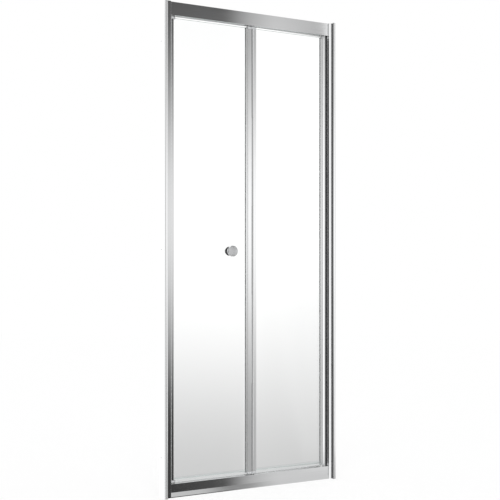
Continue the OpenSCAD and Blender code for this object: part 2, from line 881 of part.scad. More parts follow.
// Sleeve that keeps the screw off the glass
module knob_bush() {
    color("white") in_frame() on_knob_axis() translate([0, 0, -glass_t]) difference() {
        cylinder(d = knob_hole_dia - 2 * bush_bore_gap, h = glass_t);
        translate([0, 0, -over])
            cylinder(d = knob_screw_dia + 2 * seat_gap, h = glass_t + 2 * over);
    }
}

module knob_inner_washer() {
    color("black") in_frame() on_knob_axis()
        translate([0, 0, -glass_t - inner_washer_t]) difference() {
            cylinder(d = back_plate_dia - 2, h = inner_washer_t);
            translate([0, 0, -over])
                cylinder(d = knob_screw_dia + 2 * seat_gap, h = inner_washer_t + 2 * over);
        }
}

// Plate on the inside of the glass, countersunk for the knob's screw
module knob_back_plate() {
    color("gainsboro") in_frame() on_knob_axis()
        translate([0, 0, -glass_t - inner_washer_t - back_plate_t]) difference() {
            union() {
                translate([0, 0, 1]) cylinder(d = back_plate_dia, h = back_plate_t - 1);
                cylinder(d1 = back_plate_dia - 2, d2 = back_plate_dia, h = 1);
            }
            translate([0, 0, -over])
                cylinder(d = knob_screw_dia + 2 * seat_gap, h = back_plate_t + 2 * over);
            translate([0, 0, -over])
                cylinder(d = knob_screw_head_dia + 2 * seat_gap, h = knob_screw_head_h + over);
        }
}

// Screw from the back plate into the knob
module knob_screw() {
    socket_dia = 3.4;
    shank_l = back_plate_t + inner_washer_t + glass_t + knob_ring_t + knob_screw_bite
        - knob_screw_head_h - over;
    color("gray") in_frame() on_knob_axis()
        translate([0, 0, -glass_t - inner_washer_t - back_plate_t]) difference() {
            union() {
                cylinder(d = knob_screw_head_dia, h = knob_screw_head_h);
                translate([0, 0, knob_screw_head_h]) cylinder(d = knob_screw_dia, h = shank_l);
            }
            translate([0, 0, -over]) cylinder(d = socket_dia, h = over + 1.6, $fn = 6);
        }
}

// ---- Guide shoes ----

// Shoe with round ends that slides in a rail's slot and turns on a guide pin
module guide_shoe(z0) {
    shoe_w = slot_w - 2 * shoe_gap;
    end_x = (shoe_l - shoe_w) / 2;
    color("white") in_frame() translate([guide_x, track_y, z0]) difference() {
        union() {
            translate([-end_x, -shoe_w / 2, 0]) cube([2 * end_x, shoe_w, shoe_h]);
            for (x = [-end_x, end_x])
                translate([x, 0, 0]) cylinder(d = shoe_w, h = shoe_h);
        }
        translate([0, 0, -over]) cylinder(d = guide_pin_dia + 2 * run_gap, h = shoe_h + 2 * over);
    }
}

module top_guide_shoe() {
    guide_shoe(top_rail_z + shoe_inset);
}

module bottom_guide_shoe() {
    guide_shoe(rail_h - shoe_inset - shoe_h);
}

left_wall_profile();
right_wall_profile();
left_jamb();
right_jamb();
top_rail();
bottom_rail();
corner_screws();
jamb_screws();
jamb_screw_caps();
top_pivot_block();
bottom_pivot_block();
pivot_block_screws();
jamb_magnet_strip();
pivot_side_seal();
pivot_glass();
pivot_stile();
pivot_fold_stile();
pivot_stile_top_cap();
pivot_stile_bottom_cap();
pivot_fold_top_cap();
pivot_fold_bottom_cap();
top_pivot_pin();
bottom_pivot_pin();
pivot_thrust_washer();
hinge_pin();
pivot_leaf_gaskets();
pivot_drip_seal();
fold_seal();
lead_glass();
closing_stile();
lead_fold_stile();
closing_stile_top_cap();
closing_stile_bottom_cap();
lead_fold_top_cap();
lead_fold_bottom_cap();
top_guide_pin();
bottom_guide_pin();
lead_leaf_gaskets();
lead_drip_seal();
leaf_magnet_strip();
knob();
knob_ring();
knob_bush();
knob_inner_washer();
knob_back_plate();
knob_screw();
top_guide_shoe();
bottom_guide_shoe();
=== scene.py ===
"""Dresses the bifold shower door: metal frame, two glass leaves, seals, knob and studio.

Lengths are in metres. X runs along the door from its closing side to its pivot side, Y runs
from the front face towards the back and Z is up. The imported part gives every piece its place.
"""

import json
import math

import bmesh
import bpy
from bpy.props import FloatProperty, IntProperty, PointerProperty
from bpy.types import Operator, Panel, PropertyGroup
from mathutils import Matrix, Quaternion, Vector
from mathutils.bvhtree import BVHTree

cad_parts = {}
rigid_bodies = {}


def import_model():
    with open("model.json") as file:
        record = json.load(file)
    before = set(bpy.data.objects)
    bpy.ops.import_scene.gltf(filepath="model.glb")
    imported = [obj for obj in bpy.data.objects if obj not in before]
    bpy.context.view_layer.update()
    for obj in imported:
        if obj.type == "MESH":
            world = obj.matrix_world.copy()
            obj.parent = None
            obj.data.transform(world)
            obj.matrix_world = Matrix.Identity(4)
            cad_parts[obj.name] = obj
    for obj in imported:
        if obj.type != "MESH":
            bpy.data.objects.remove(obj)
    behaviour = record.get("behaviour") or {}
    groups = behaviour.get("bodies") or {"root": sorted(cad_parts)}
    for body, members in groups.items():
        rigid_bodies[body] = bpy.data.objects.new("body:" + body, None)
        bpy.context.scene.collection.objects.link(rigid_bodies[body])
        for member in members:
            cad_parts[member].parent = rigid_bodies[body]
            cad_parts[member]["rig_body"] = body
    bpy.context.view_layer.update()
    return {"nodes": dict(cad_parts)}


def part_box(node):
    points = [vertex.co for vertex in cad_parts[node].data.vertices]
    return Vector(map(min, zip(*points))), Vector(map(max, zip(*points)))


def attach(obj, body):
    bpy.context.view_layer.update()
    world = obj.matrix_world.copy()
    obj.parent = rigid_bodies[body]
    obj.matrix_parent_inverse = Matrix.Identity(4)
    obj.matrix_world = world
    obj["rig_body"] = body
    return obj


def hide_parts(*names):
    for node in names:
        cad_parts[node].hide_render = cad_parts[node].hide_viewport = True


bl_info = {
    "name": "Bifold shower door",
    "version": (1, 0, 0),
    "blender": (4, 5, 0),
    "location": "3D Viewport > Sidebar > Shower door",
    "description": "Finishes the frame, glass, seals and knob of a bifold shower door",
    "category": "Object",
}

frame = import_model()

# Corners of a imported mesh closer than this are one, and faces that turn by less are flat.
SAME_PLACE = 2e-6
SAME_PLANE = math.radians(0.4)
# Edges that turn by more degrees than these stay sharp in shading.
METAL_CREASE = 20
TURNED_CREASE = 38
STRIP_CREASE = 50
# The wall profiles' nosing and the pivot jamb's front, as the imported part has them.
NOSING_WIDTH = 0.012
NOSING_DEPTH = 0.0021
PIVOT_REVEAL = 0.0095
# Ways through the door: in from its front face, and out of it.
INWARD = (0, 1, 0)
OUTWARD = (0, -1, 0)

# The extrusions on the wall, with the axis that each runs along.
WALL_AND_RAIL_METAL = {
    "left_wall_profile": "Z",
    "right_wall_profile": "Z",
    "left_jamb": "Z",
    "right_jamb": "Z",
    "top_rail": "X",
    "bottom_rail": "X",
}
STILE_METAL = ("closing_stile", "lead_fold_stile", "pivot_fold_stile", "pivot_stile")
GREY_CAPS = (
    "closing_stile_top_cap", "closing_stile_bottom_cap",
    "lead_fold_top_cap", "lead_fold_bottom_cap",
    "pivot_fold_top_cap", "pivot_fold_bottom_cap",
    "pivot_stile_top_cap", "pivot_stile_bottom_cap",
)
WHITE_RUNNERS = (
    "top_pivot_block", "bottom_pivot_block", "pivot_thrust_washer",
    "top_guide_shoe", "bottom_guide_shoe", "knob_bush",
)
STEEL_PARTS = (
    "corner_screws", "jamb_screws", "pivot_block_screws",
    "top_pivot_pin", "bottom_pivot_pin", "hinge_pin",
    "top_guide_pin", "bottom_guide_pin", "knob_screw",
)


class ShowerDoorSizes(PropertyGroup):
    """Small sizes of the finished pieces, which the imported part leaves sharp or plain."""

    metal_edge: FloatProperty(
        name="Metal edge radius",
        description="Radius on the long edges of the extrusions",
        default=0.0004,
        min=0.0001,
        max=0.0008,
        unit="LENGTH",
        precision=5,
    )
    nosing_crown: FloatProperty(
        name="Nosing crown",
        description="How far the wall profiles' nosings round off in front",
        default=0.00045,
        min=0,
        max=0.001,
        unit="LENGTH",
        precision=5,
    )
    jamb_slope: FloatProperty(
        name="Pivot jamb slope",
        description="How far the pivot jamb's front falls back on the door's side",
        default=0.0014,
        min=0,
        max=0.0014,
        unit="LENGTH",
        precision=5,
    )
    glass_arris: FloatProperty(
        name="Glass arris",
        description="Width of the ground bevel round each pane",
        default=0.0006,
        min=0.0002,
        max=0.0012,
        unit="LENGTH",
        precision=5,
    )
    seal_edge: FloatProperty(
        name="Seal edge radius",
        description="Radius on the edges of the flexible seals",
        default=0.0003,
        min=0.0001,
        max=0.0004,
        unit="LENGTH",
        precision=5,
    )
    knob_dish: FloatProperty(
        name="Knob dish",
        description="Depth of the shallow dish in the knob's face",
        default=0.0014,
        min=0.0004,
        max=0.0025,
        unit="LENGTH",
        precision=5,
    )
    turned_steps: IntProperty(
        name="Turned steps",
        description="Faces round a turned piece such as the knob",
        default=128,
        min=32,
        max=256,
    )


class ShowerDoorStudio(PropertyGroup):
    """The camera, the lamp and the floor."""

    camera_bearing: FloatProperty(
        name="Camera bearing",
        description="How far the view is turned from square to the door",
        default=math.radians(29.5),
        subtype="ANGLE",
    )
    camera_lens: FloatProperty(
        name="Lens",
        description="Focal length on a 36 mm sensor",
        default=73.164,
        min=20,
        max=200,
    )
    soft_light: FloatProperty(
        name="Soft light",
        description="Level of the even light from all round",
        default=0.78,
        min=0,
        max=1,
    )
    key_light: FloatProperty(
        name="Key light",
        description="Strength of the wide lamp that gives the shadow",
        default=1.0,
        min=0,
        max=5,
    )
    floor_radius: FloatProperty(
        name="Floor radius",
        description="Radius of the pale floor",
        default=9.0,
        min=3,
        max=20,
        unit="LENGTH",
    )


# ---- Meshes ----


def mesh_from(shape, name):
    """Turns a built shape into a mesh."""
    mesh = bpy.data.meshes.new(name)
    shape.to_mesh(mesh)
    shape.free()
    return mesh


def add_piece(name, mesh, node):
    """Puts a finished mesh in the scene, in place of its CAD node and on that node's body."""
    body = frame["nodes"][node]["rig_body"]
    piece = bpy.data.objects.new(name, mesh)
    bpy.context.scene.collection.objects.link(piece)
    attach(piece, body)
    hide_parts(node)
    return piece


def give(piece, *materials):
    """Puts materials on a finished mesh, in the order of its faces' material numbers."""
    for material in materials:
        piece.data.materials.append(material)


def dress(node, material):
    """Gives a CAD node that keeps its shape a better material in each of its slots."""
    for place in frame["nodes"][node].material_slots:
        place.material = material


def crease(shape, sharpest):
    """Shades a shape smooth except along edges that turn by more than an angle in degrees."""
    for face in shape.faces:
        face.smooth = True
    for edge in shape.edges:
        turn = edge.calc_face_angle(math.pi)
        edge.smooth = turn < math.radians(sharpest)


def weigh_normals(piece):
    """Keeps flat faces flat in shading while the small radii turn smoothly."""
    fix = piece.modifiers.new("Even normals", "WEIGHTED_NORMAL")
    fix.keep_sharp = True
    fix.weight = 100


def packed_shape(node):
    """A CAD node's mesh with its flat faces joined, ready for its edges to be eased."""
    shape = bmesh.new()
    shape.from_mesh(frame["nodes"][node].data)
    bmesh.ops.remove_doubles(shape, verts=shape.verts, dist=SAME_PLACE)
    bmesh.ops.dissolve_limit(shape, angle_limit=SAME_PLANE, verts=shape.verts, edges=shape.edges)
    return shape


def ease_edges(shape, edges, width, segments):
    """Eases edges by a radius, or by a flat bevel where it has one segment."""
    bmesh.ops.bevel(
        shape,
        geom=edges,
        offset=width,
        offset_type="OFFSET",
        segments=segments,
        profile=0.5,
        affect="EDGES",
        clamp_overlap=False,
    )


def long_edges(shape, along, shortest, least_turn):
    """Outer edges that run along one axis and turn by more than an angle."""
    axis = "XYZ".index(along)
    straight = 0.9999
    found = []
    for edge in shape.edges:
        if len(edge.link_faces) != 2 or edge.calc_length() < shortest:
            continue
        run = (edge.verts[1].co - edge.verts[0].co).normalized()
        if abs(run[axis]) < straight:
            continue
        if edge.calc_face_angle_signed(0) > least_turn:
            found.append(edge)
    return found


def slice_upright(shape, place_x):
    """Cuts an upright's faces along its length, at one place across its width."""
    bmesh.ops.bisect_plane(
        shape,
        geom=[*shape.verts, *shape.edges, *shape.faces],
        plane_co=(place_x, 0, 0),
        plane_no=(1, 0, 0),
    )


def crown_nosing(shape, width, depth, rise):
    """Makes the wall profile's flat nosing slightly round in front, inside its own outline."""
    outer = max(abs(point.co.x) for point in shape.verts)
    front = min(point.co.y for point in shape.verts)
    side = 1 if sum(point.co.x for point in shape.verts) > 0 else -1
    middle = side * (outer - width / 2)
    for step in range(-4, 5):
        slice_upright(shape, middle + step * width / 12)
    for point in shape.verts:
        if point.co.y < front + depth:
            point.co.y += rise * ((point.co.x - middle) / (width / 2)) ** 2


def slope_jamb_front(shape, width, fall):
    """Lets the pivot jamb's front face fall away in a shallow curve towards the door."""
    front = min(point.co.y for point in shape.verts)
    inner = min(point.co.x for point in shape.verts)
    skin = 0.0002
    for step in range(1, 8):
        slice_upright(shape, inner + step * width / 8)
    for point in shape.verts:
        if point.co.y < front + skin:
            share = 1 - (point.co.x - inner) / width
            if share > 0:
                point.co.y += fall * (share + share * share) / 2


def channel_faces(shape, along):
    """Faces inside a hollow or channel, which look at another wall of the same profile."""
    lift = 0.00002
    widest = 0.08
    leans = (-50, 0, 50)
    shape.normal_update()
    walls = BVHTree.FromBMesh(shape)
    run = Vector((0, 0, 0))
    run["XYZ".index(along)] = 1
    inside = []
    for face in shape.faces:
        if abs(face.normal.dot(run)) > 0.5:
            continue
        start = face.calc_center_median() + face.normal * lift
        met = 0
        for lean in leans:
            way = Quaternion(run, math.radians(lean)) @ face.normal
            if walls.ray_cast(start, way, widest)[0] is not None:
                met += 1
        if met > len(leans) / 2:
            inside.append(face)
    return inside


def eased_extrusion(node, along, radius, crown=0.0, slope=0.0):
    """An extrusion as packed, with a small radius on its long outer edges."""
    shape = packed_shape(node)
    if crown > 0:
        crown_nosing(shape, NOSING_WIDTH, NOSING_DEPTH, crown)
    if slope > 0:
        slope_jamb_front(shape, PIVOT_REVEAL, slope)
    edges = long_edges(shape, along, shortest=0.02, least_turn=math.radians(30))
    if not edges:
        raise RuntimeError(f"{node} has no long edges to ease")
    ease_edges(shape, edges, radius, segments=5)
    for face in shape.faces:
        face.material_index = 0
    for face in channel_faces(shape, along):
        face.material_index = 1
    crease(shape, METAL_CREASE)
    mesh = mesh_from(shape, node + "_eased")
    piece = add_piece(node + "_finished", mesh, node)
    weigh_normals(piece)
    return piece


def curve_points(start, middle, end, steps):
    """Points on a smooth bend from start to end that leans towards middle."""
    a, b, c = Vector(start), Vector(middle), Vector(end)
    points = []
    for step in range(steps + 1):
        t = step / steps
        points.append(tuple((1 - t) ** 2 * a + 2 * t * (1 - t) * b + t * t * c))
    return points


def round_corners(outline, radius, steps=3):
    """Rounds each corner of a closed outline given as (u, v) points."""
    nearly_straight = math.radians(165)
    most = 0.49
    count = len(outline)
    rounded = []
    for i in range(count):
        here = Vector(outline[i])
        to_last = Vector(outline[i - 1]) - here
        to_next = Vector(outline[(i + 1) % count]) - here
        turn = to_last.angle(to_next)
        if turn > nearly_straight:
            rounded.append(tuple(here))
            continue
        reach = min(radius / math.tan(turn / 2), most * to_last.length, most * to_next.length)
        start = here + to_last.normalized() * reach
        end = here + to_next.normalized() * reach
        rounded += curve_points(start, here, end, steps)
    return rounded


def add_strip(shape, outline, place, start, end):
    """Adds a closed outline run from start to end; place turns (u, v, run) into a point."""
    near = [shape.verts.new(place(u, v, start)) for u, v in outline]
    far = [shape.verts.new(place(u, v, end)) for u, v in outline]
    count = len(outline)
    for i in range(count):
        j = (i + 1) % count
        shape.faces.new((near[i], near[j], far[j], far[i]))
    shape.faces.new(near[::-1])
    shape.faces.new(far)


def add_turned(shape, outline, centre, axis, steps):
    """Turns a closed (radius, height) outline about an axis through centre."""
    on_axis = 1e-7
    axis = Vector(axis).normalized()
    side = axis.orthogonal().normalized()
    other = axis.cross(side)
    rings = []
    for radius, height in outline:
        if radius < on_axis:
            rings.append([shape.verts.new(centre + axis * height)])
            continue
        ring = []
        for step in range(steps):
            angle = 2 * math.pi * step / steps
            away = side * math.cos(angle) + other * math.sin(angle)
            ring.append(shape.verts.new(centre + axis * height + away * radius))
        rings.append(ring)
    for low, high in zip(rings, rings[1:] + rings[:1]):
        if len(low) == 1 and len(high) == 1:
            continue
        for step in range(steps):
            after = (step + 1) % steps
            if len(low) == 1:
                shape.faces.new((low[0], high[step], high[after]))
            elif len(high) == 1:
                shape.faces.new((low[step], low[after], high[0]))
            else:
                shape.faces.new((low[step], low[after], high[after], high[step]))


def finish_built(shape, name, node, material, sharpest):
    """Makes a built shape the finished piece of its CAD node, smooth except at sharp edges."""
    bmesh.ops.recalc_face_normals(shape, faces=shape.faces)
    piece = add_piece(name, mesh_from(shape, name), node)
    give(piece, material)
    for face in piece.data.polygons:
        face.use_smooth = True
    piece.data.set_sharp_from_angle(angle=math.radians(sharpest))
    return piece


def upright_at(start_x, way, start_y):
    """Places the outline of an upright strip, with u to either way along X and v along Y."""

    def place(u, v, run):
        return (start_x + way * u, start_y + v, run)

    return place


def strip_piece(name, outline, places, start, end, node, material):
    """Runs an outline from start to end at each place, and finishes what it makes."""
    shape = bmesh.new()
    for place in places:
        add_strip(shape, outline, place, start, end)
    weigh_normals(finish_built(shape, name, node, material, STRIP_CREASE))


def turn_piece(name, outline, centres, axis, steps, node, material):
    """Turns an outline about an axis through each centre, and finishes what it makes."""
    shape = bmesh.new()
    for centre in centres:
        add_turned(shape, outline, centre, axis, steps)
    finish_built(shape, name, node, material, TURNED_CREASE)


def edge_round(corner, radius, first, last, steps):
    """Points on a round about corner, from angle first to angle last in degrees."""
    points = []
    for step in range(steps + 1):
        angle = math.radians(first + (last - first) * step / steps)
        points.append((corner[0] + radius * math.cos(angle), corner[1] + radius * math.sin(angle)))
    return points


# ---- Materials ----


class Wiring:
    """Adds and links the nodes of one material or world."""

    def __init__(self, owner):
        owner.use_nodes = True
        self.tree = owner.node_tree
        self.tree.nodes.clear()

    def add(self, kind, **settings):
        made = self.tree.nodes.new(kind)
        for key, value in settings.items():
            setattr(made, key, value)
        return made

    def link(self, start, end):
        self.tree.links.new(start, end)

    def feed(self, socket, value):
        if isinstance(value, bpy.types.NodeSocket):
            self.link(value, socket)
        else:
            socket.default_value = value

    def object_place(self):
        return self.add("ShaderNodeTexCoord").outputs["Object"]

    def sum(self, operation, first, second=0.0):
        made = self.add("ShaderNodeMath", operation=operation)
        self.feed(made.inputs[0], first)
        self.feed(made.inputs[1], second)
        return made.outputs[0]

    def span(self, value, low, high, to_low, to_high, kind="LINEAR"):
        made = self.add("ShaderNodeMapRange", interpolation_type=kind)
        self.feed(made.inputs["Value"], value)
        self.feed(made.inputs["From Min"], low)
        self.feed(made.inputs["From Max"], high)
        self.feed(made.inputs["To Min"], to_low)
        self.feed(made.inputs["To Max"], to_high)
        return made.outputs["Result"]

    def noise(self, place, size, detail, rough=0.5):
        made = self.add("ShaderNodeTexNoise")
        self.link(place, made.inputs["Vector"])
        made.inputs["Scale"].default_value = size
        made.inputs["Detail"].default_value = detail
        made.inputs["Roughness"].default_value = rough
        return made.outputs["Fac"]

    def marks(self, place, scale, detail, rough=0.5):
        """Noise with its own scale along each axis."""
        made = self.add("ShaderNodeMapping")
        self.link(place, made.inputs["Vector"])
        made.inputs["Scale"].default_value = scale
        return self.noise(made.outputs["Vector"], 1.0, detail, rough)

    def vary(self, noise, low, high):
        """Spreads a noise from low to high; most of it lies between 0.3 and 0.7."""
        return self.span(noise, 0.3, 0.7, low, high)

    def blend_colour(self, amount, first, second):
        made = self.add("ShaderNodeMix", data_type="RGBA")
        self.feed(made.inputs[0], amount)
        made.inputs[6].default_value = (*first, 1)
        made.inputs[7].default_value = (*second, 1)
        return made.outputs[2]

    def bump(self, height, strength, distance):
        made = self.add("ShaderNodeBump")
        made.inputs["Strength"].default_value = strength
        made.inputs["Distance"].default_value = distance
        self.link(height, made.inputs["Height"])
        return made.outputs["Normal"]

    def coat(self, surface, colour, roughness, relief):
        self.link(colour, surface.inputs["Base Color"])
        self.link(roughness, surface.inputs["Roughness"])
        self.link(relief, surface.inputs["Normal"])

    def choose(self, flag, first, second):
        """Gives the first shader where flag is 0 and the second where it is 1."""
        made = self.add("ShaderNodeMixShader")
        self.link(flag, made.inputs["Fac"])
        self.link(first, made.inputs[1])
        self.link(second, made.inputs[2])
        return made.outputs[0]

    def levels(self, value, stops):
        made = self.add("ShaderNodeValToRGB")
        ramp = made.color_ramp
        ramp.interpolation = "LINEAR"
        while len(ramp.elements) > 1:
            ramp.elements.remove(ramp.elements[-1])
        ramp.elements[0].position = stops[0][0]
        ramp.elements[0].color = (stops[0][1],) * 3 + (1,)
        for place, level in stops[1:]:
            stop = ramp.elements.new(place)
            stop.color = (level,) * 3 + (1,)
        self.link(value, made.inputs["Fac"])
        return made.outputs["Color"]


def new_surface(name):
    """Gives a new material, its wiring, its Principled surface and the place on the object."""
    material = bpy.data.materials.new(name)
    wiring = Wiring(material)
    surface = wiring.add("ShaderNodeBsdfPrincipled")
    out = wiring.add("ShaderNodeOutputMaterial")
    wiring.link(surface.outputs[0], out.inputs["Surface"])
    return material, wiring, surface, wiring.object_place()


def drawn_out(along, across, lengthwise):
    """Noise scales for marks that are fine across an axis and long along it."""
    scale = [across] * 3
    scale["XYZ".index(along)] = lengthwise
    return scale


def polished_extrusion(name, along):
    """Bright polished aluminium with faint die lines along the extrusion."""
    material, wiring, surface, place = new_surface(name)
    lines = wiring.marks(place, drawn_out(along, 1400.0, 1.2), detail=4.0, rough=0.6)
    bands = wiring.marks(place, drawn_out(along, 90.0, 0.6), detail=3.0)
    handling = wiring.noise(place, 9.0, detail=5.0, rough=0.62)
    tone = wiring.vary(lines, 0.0, 1.0)
    colour = wiring.blend_colour(tone, (0.855, 0.86, 0.865), (0.905, 0.908, 0.912))
    smears = wiring.span(handling, 0.45, 0.75, 0.0, 0.03)
    rough = wiring.sum("ADD", wiring.vary(bands, 0.03, 0.065), smears)
    height = wiring.sum("ADD", lines, wiring.sum("MULTIPLY", bands, 2.0))
    wiring.coat(surface, colour, rough, wiring.bump(height, 0.15, 0.00003))
    surface.inputs["Metallic"].default_value = 1.0
    return material


def pale_anodising(name, along):
    """Pale satin anodising with die lines, for the insides of hollows and channels."""
    material, wiring, surface, place = new_surface(name)
    lines = wiring.marks(place, drawn_out(along, 600.0, 3.0), detail=4.0, rough=0.6)
    cloud = wiring.noise(place, 40.0, detail=3.0)
    colour = wiring.blend_colour(lines, (0.86, 0.865, 0.87), (0.93, 0.935, 0.94))
    rough = wiring.vary(cloud, 0.38, 0.5)
    wiring.coat(surface, colour, rough, wiring.bump(lines, 0.25, 0.00004))
    surface.inputs["Metallic"].default_value = 0.2
    return material


def turned_chrome(name, centre):
    """Chrome over fine turning rings round the knob's axis, a satin face and bright edges."""
    face_ends = 0.0165
    edge_starts = 0.0185
    material, wiring, surface, place = new_surface(name)
    shift = wiring.add("ShaderNodeVectorMath", operation="SUBTRACT")
    wiring.link(place, shift.inputs[0])
    shift.inputs[1].default_value = centre
    apart = wiring.add("ShaderNodeSeparateXYZ")
    wiring.link(shift.outputs[0], apart.inputs[0])
    across = wiring.sum("MULTIPLY", apart.outputs["X"], apart.outputs["X"])
    up = wiring.sum("MULTIPLY", apart.outputs["Z"], apart.outputs["Z"])
    radius = wiring.sum("SQRT", wiring.sum("ADD", across, up))
    rings_at = wiring.add("ShaderNodeCombineXYZ")
    wiring.link(radius, rings_at.inputs["X"])
    wiring.link(apart.outputs["Y"], rings_at.inputs["Y"])
    rings = wiring.marks(rings_at.outputs[0], (3200, 900, 1), detail=3.0, rough=0.6)
    face = wiring.span(radius, face_ends, edge_starts, 0.3, 0.09, "SMOOTHSTEP")
    scuffs = wiring.noise(place, 160.0, detail=4.0, rough=0.6)
    wear = wiring.span(scuffs, 0.4, 0.7, 0.0, 0.06)
    rough = wiring.sum("ADD", face, wear)
    tone = wiring.vary(rings, 0.0, 1.0)
    colour = wiring.blend_colour(tone, (0.54, 0.545, 0.555), (0.64, 0.645, 0.65))
    wiring.coat(surface, colour, rough, wiring.bump(rings, 0.3, 0.00002))
    surface.inputs["Metallic"].default_value = 1.0
    return material


def brushed_steel(name):
    """Plain stainless steel with machining marks, for screws and pins."""
    material, wiring, surface, place = new_surface(name)
    marks = wiring.marks(place, (700, 700, 2600), detail=4.0, rough=0.6)
    blotch = wiring.noise(place, 420.0, detail=3.0)
    colour = wiring.blend_colour(marks, (0.5, 0.505, 0.51), (0.66, 0.66, 0.665))
    rough = wiring.vary(blotch, 0.24, 0.4)
    wiring.coat(surface, colour, rough, wiring.bump(marks, 0.3, 0.00003))
    surface.inputs["Metallic"].default_value = 1.0
    return material


def moulded_plastic(name, dark, light, gloss):
    """Moulded plastic: a fine spark-eroded grain and slight unevenness of tone."""
    material, wiring, surface, place = new_surface(name)
    grain = wiring.noise(place, 5200.0, detail=2.0)
    cloud = wiring.noise(place, 70.0, detail=3.0)
    colour = wiring.blend_colour(cloud, dark, light)
    rough = wiring.vary(grain, gloss - 0.06, gloss + 0.08)
    wiring.coat(surface, colour, rough, wiring.bump(grain, 0.18, 0.00004))
    surface.inputs["IOR"].default_value = 1.49
    return material


def soft_vinyl(name, dark, light, gloss, along):
    """Extruded vinyl or rubber with drawn-out lines along its length."""
    material, wiring, surface, place = new_surface(name)
    drawn = wiring.marks(place, drawn_out(along, 1800.0, 6.0), detail=3.0)
    cloud = wiring.noise(place, 45.0, detail=3.0)
    colour = wiring.blend_colour(cloud, dark, light)
    rough = wiring.vary(drawn, gloss - 0.08, gloss + 0.08)
    wiring.coat(surface, colour, rough, wiring.bump(drawn, 0.25, 0.00004))
    surface.inputs["IOR"].default_value = 1.5
    return material


def clear_vinyl(name, along, dark, light, clearness, haze, refraction):
    """Translucent vinyl with drawn-out lines along its length."""
    material, wiring, surface, place = new_surface(name)
    drawn = wiring.marks(place, drawn_out(along, 1500.0, 5.0), detail=3.0)
    cloud = wiring.noise(place, 60.0, detail=3.0)
    colour = wiring.blend_colour(cloud, dark, light)
    rough = wiring.vary(drawn, haze, haze * 1.6)
    wiring.coat(surface, colour, rough, wiring.bump(drawn, 0.2, 0.00004))
    surface.inputs["Transmission Weight"].default_value = clearness
    surface.inputs["IOR"].default_value = refraction
    return material


def pane_surface(name, pale, deep, rough):
    """Glass that passes light to what stands behind it, so that its shadow stays pale."""
    material = bpy.data.materials.new(name)
    wiring = Wiring(material)
    place = wiring.object_place()
    wave = wiring.marks(place, (2.4, 2.4, 1.1), detail=2.0, rough=0.4)
    film = wiring.noise(place, 22.0, detail=5.0, rough=0.6)
    surface = wiring.add("ShaderNodeBsdfPrincipled")
    wiring.link(wiring.blend_colour(wave, pale, deep), surface.inputs["Base Color"])
    wiring.link(wiring.span(film, 0.5, 0.8, rough, rough + 0.012), surface.inputs["Roughness"])
    surface.inputs["Transmission Weight"].default_value = 1.0
    surface.inputs["IOR"].default_value = 1.5
    clear = wiring.add("ShaderNodeBsdfTransparent")
    clear.inputs["Color"].default_value = (0.95, 0.97, 0.96, 1)
    ray = wiring.add("ShaderNodeLightPath")
    seen = wiring.choose(ray.outputs["Is Shadow Ray"], surface.outputs[0], clear.outputs[0])
    out = wiring.add("ShaderNodeOutputMaterial")
    wiring.link(seen, out.inputs["Surface"])
    return material


# ---- Pieces ----


class SHOWERDOOR_OT_wall_frame(Operator):
    """Finish the wall profiles, the jambs and the two rails"""

    bl_idname = "shower_door.wall_frame"
    bl_label = "Wall frame"

    def execute(self, context):
        sizes = context.scene.shower_door_sizes
        upright = polished_extrusion("polished_uprights", "Z")
        level = polished_extrusion("polished_rails", "X")
        upright_inside = pale_anodising("upright_insides", "Z")
        level_inside = pale_anodising("rail_insides", "X")
        for node, along in WALL_AND_RAIL_METAL.items():
            crown = sizes.nosing_crown if node.endswith("wall_profile") else 0.0
            slope = sizes.jamb_slope if node == "right_jamb" else 0.0
            piece = eased_extrusion(node, along, sizes.metal_edge, crown, slope)
            if along == "Z":
                give(piece, upright, upright_inside)
            else:
                give(piece, level, level_inside)
        return {"FINISHED"}


class SHOWERDOOR_OT_leaf_stiles(Operator):
    """Finish the four stiles that hold the glass"""

    bl_idname = "shower_door.leaf_stiles"
    bl_label = "Leaf stiles"

    def execute(self, context):
        sizes = context.scene.shower_door_sizes
        metal = polished_extrusion("polished_stiles", "Z")
        inside = pale_anodising("stile_insides", "Z")
        for node in STILE_METAL:
            give(eased_extrusion(node, "Z", sizes.metal_edge), metal, inside)
        return {"FINISHED"}


class SHOWERDOOR_OT_glass_panes(Operator):
    """Finish the two panes with a ground arris and a green edge"""

    bl_idname = "shower_door.glass_panes"
    bl_label = "Glass panes"

    def execute(self, context):
        sizes = context.scene.shower_door_sizes
        face = pane_surface("pane_face", (0.982, 0.987, 0.985), (0.989, 0.993, 0.991), 0.0)
        edge = pane_surface("pane_edge", (0.42, 0.66, 0.58), (0.5, 0.74, 0.66), 0.25)
        flat = 0.99
        for node in ("pivot_glass", "lead_glass"):
            shape = packed_shape(node)
            rim = []
            for sharp in shape.edges:
                if len(sharp.link_faces) == 2 and sharp.calc_face_angle(0) > math.radians(60):
                    faces = [abs(side.normal.y) for side in sharp.link_faces]
                    if max(faces) > flat and min(faces) < 1 - flat:
                        rim.append(sharp)
            ease_edges(shape, rim, sizes.glass_arris, segments=1)
            for side in shape.faces:
                side.material_index = 0 if abs(side.normal.y) > flat else 1
            mesh = mesh_from(shape, node + "_pane")
            give(add_piece(node + "_pane", mesh, node), face, edge)
        return {"FINISHED"}


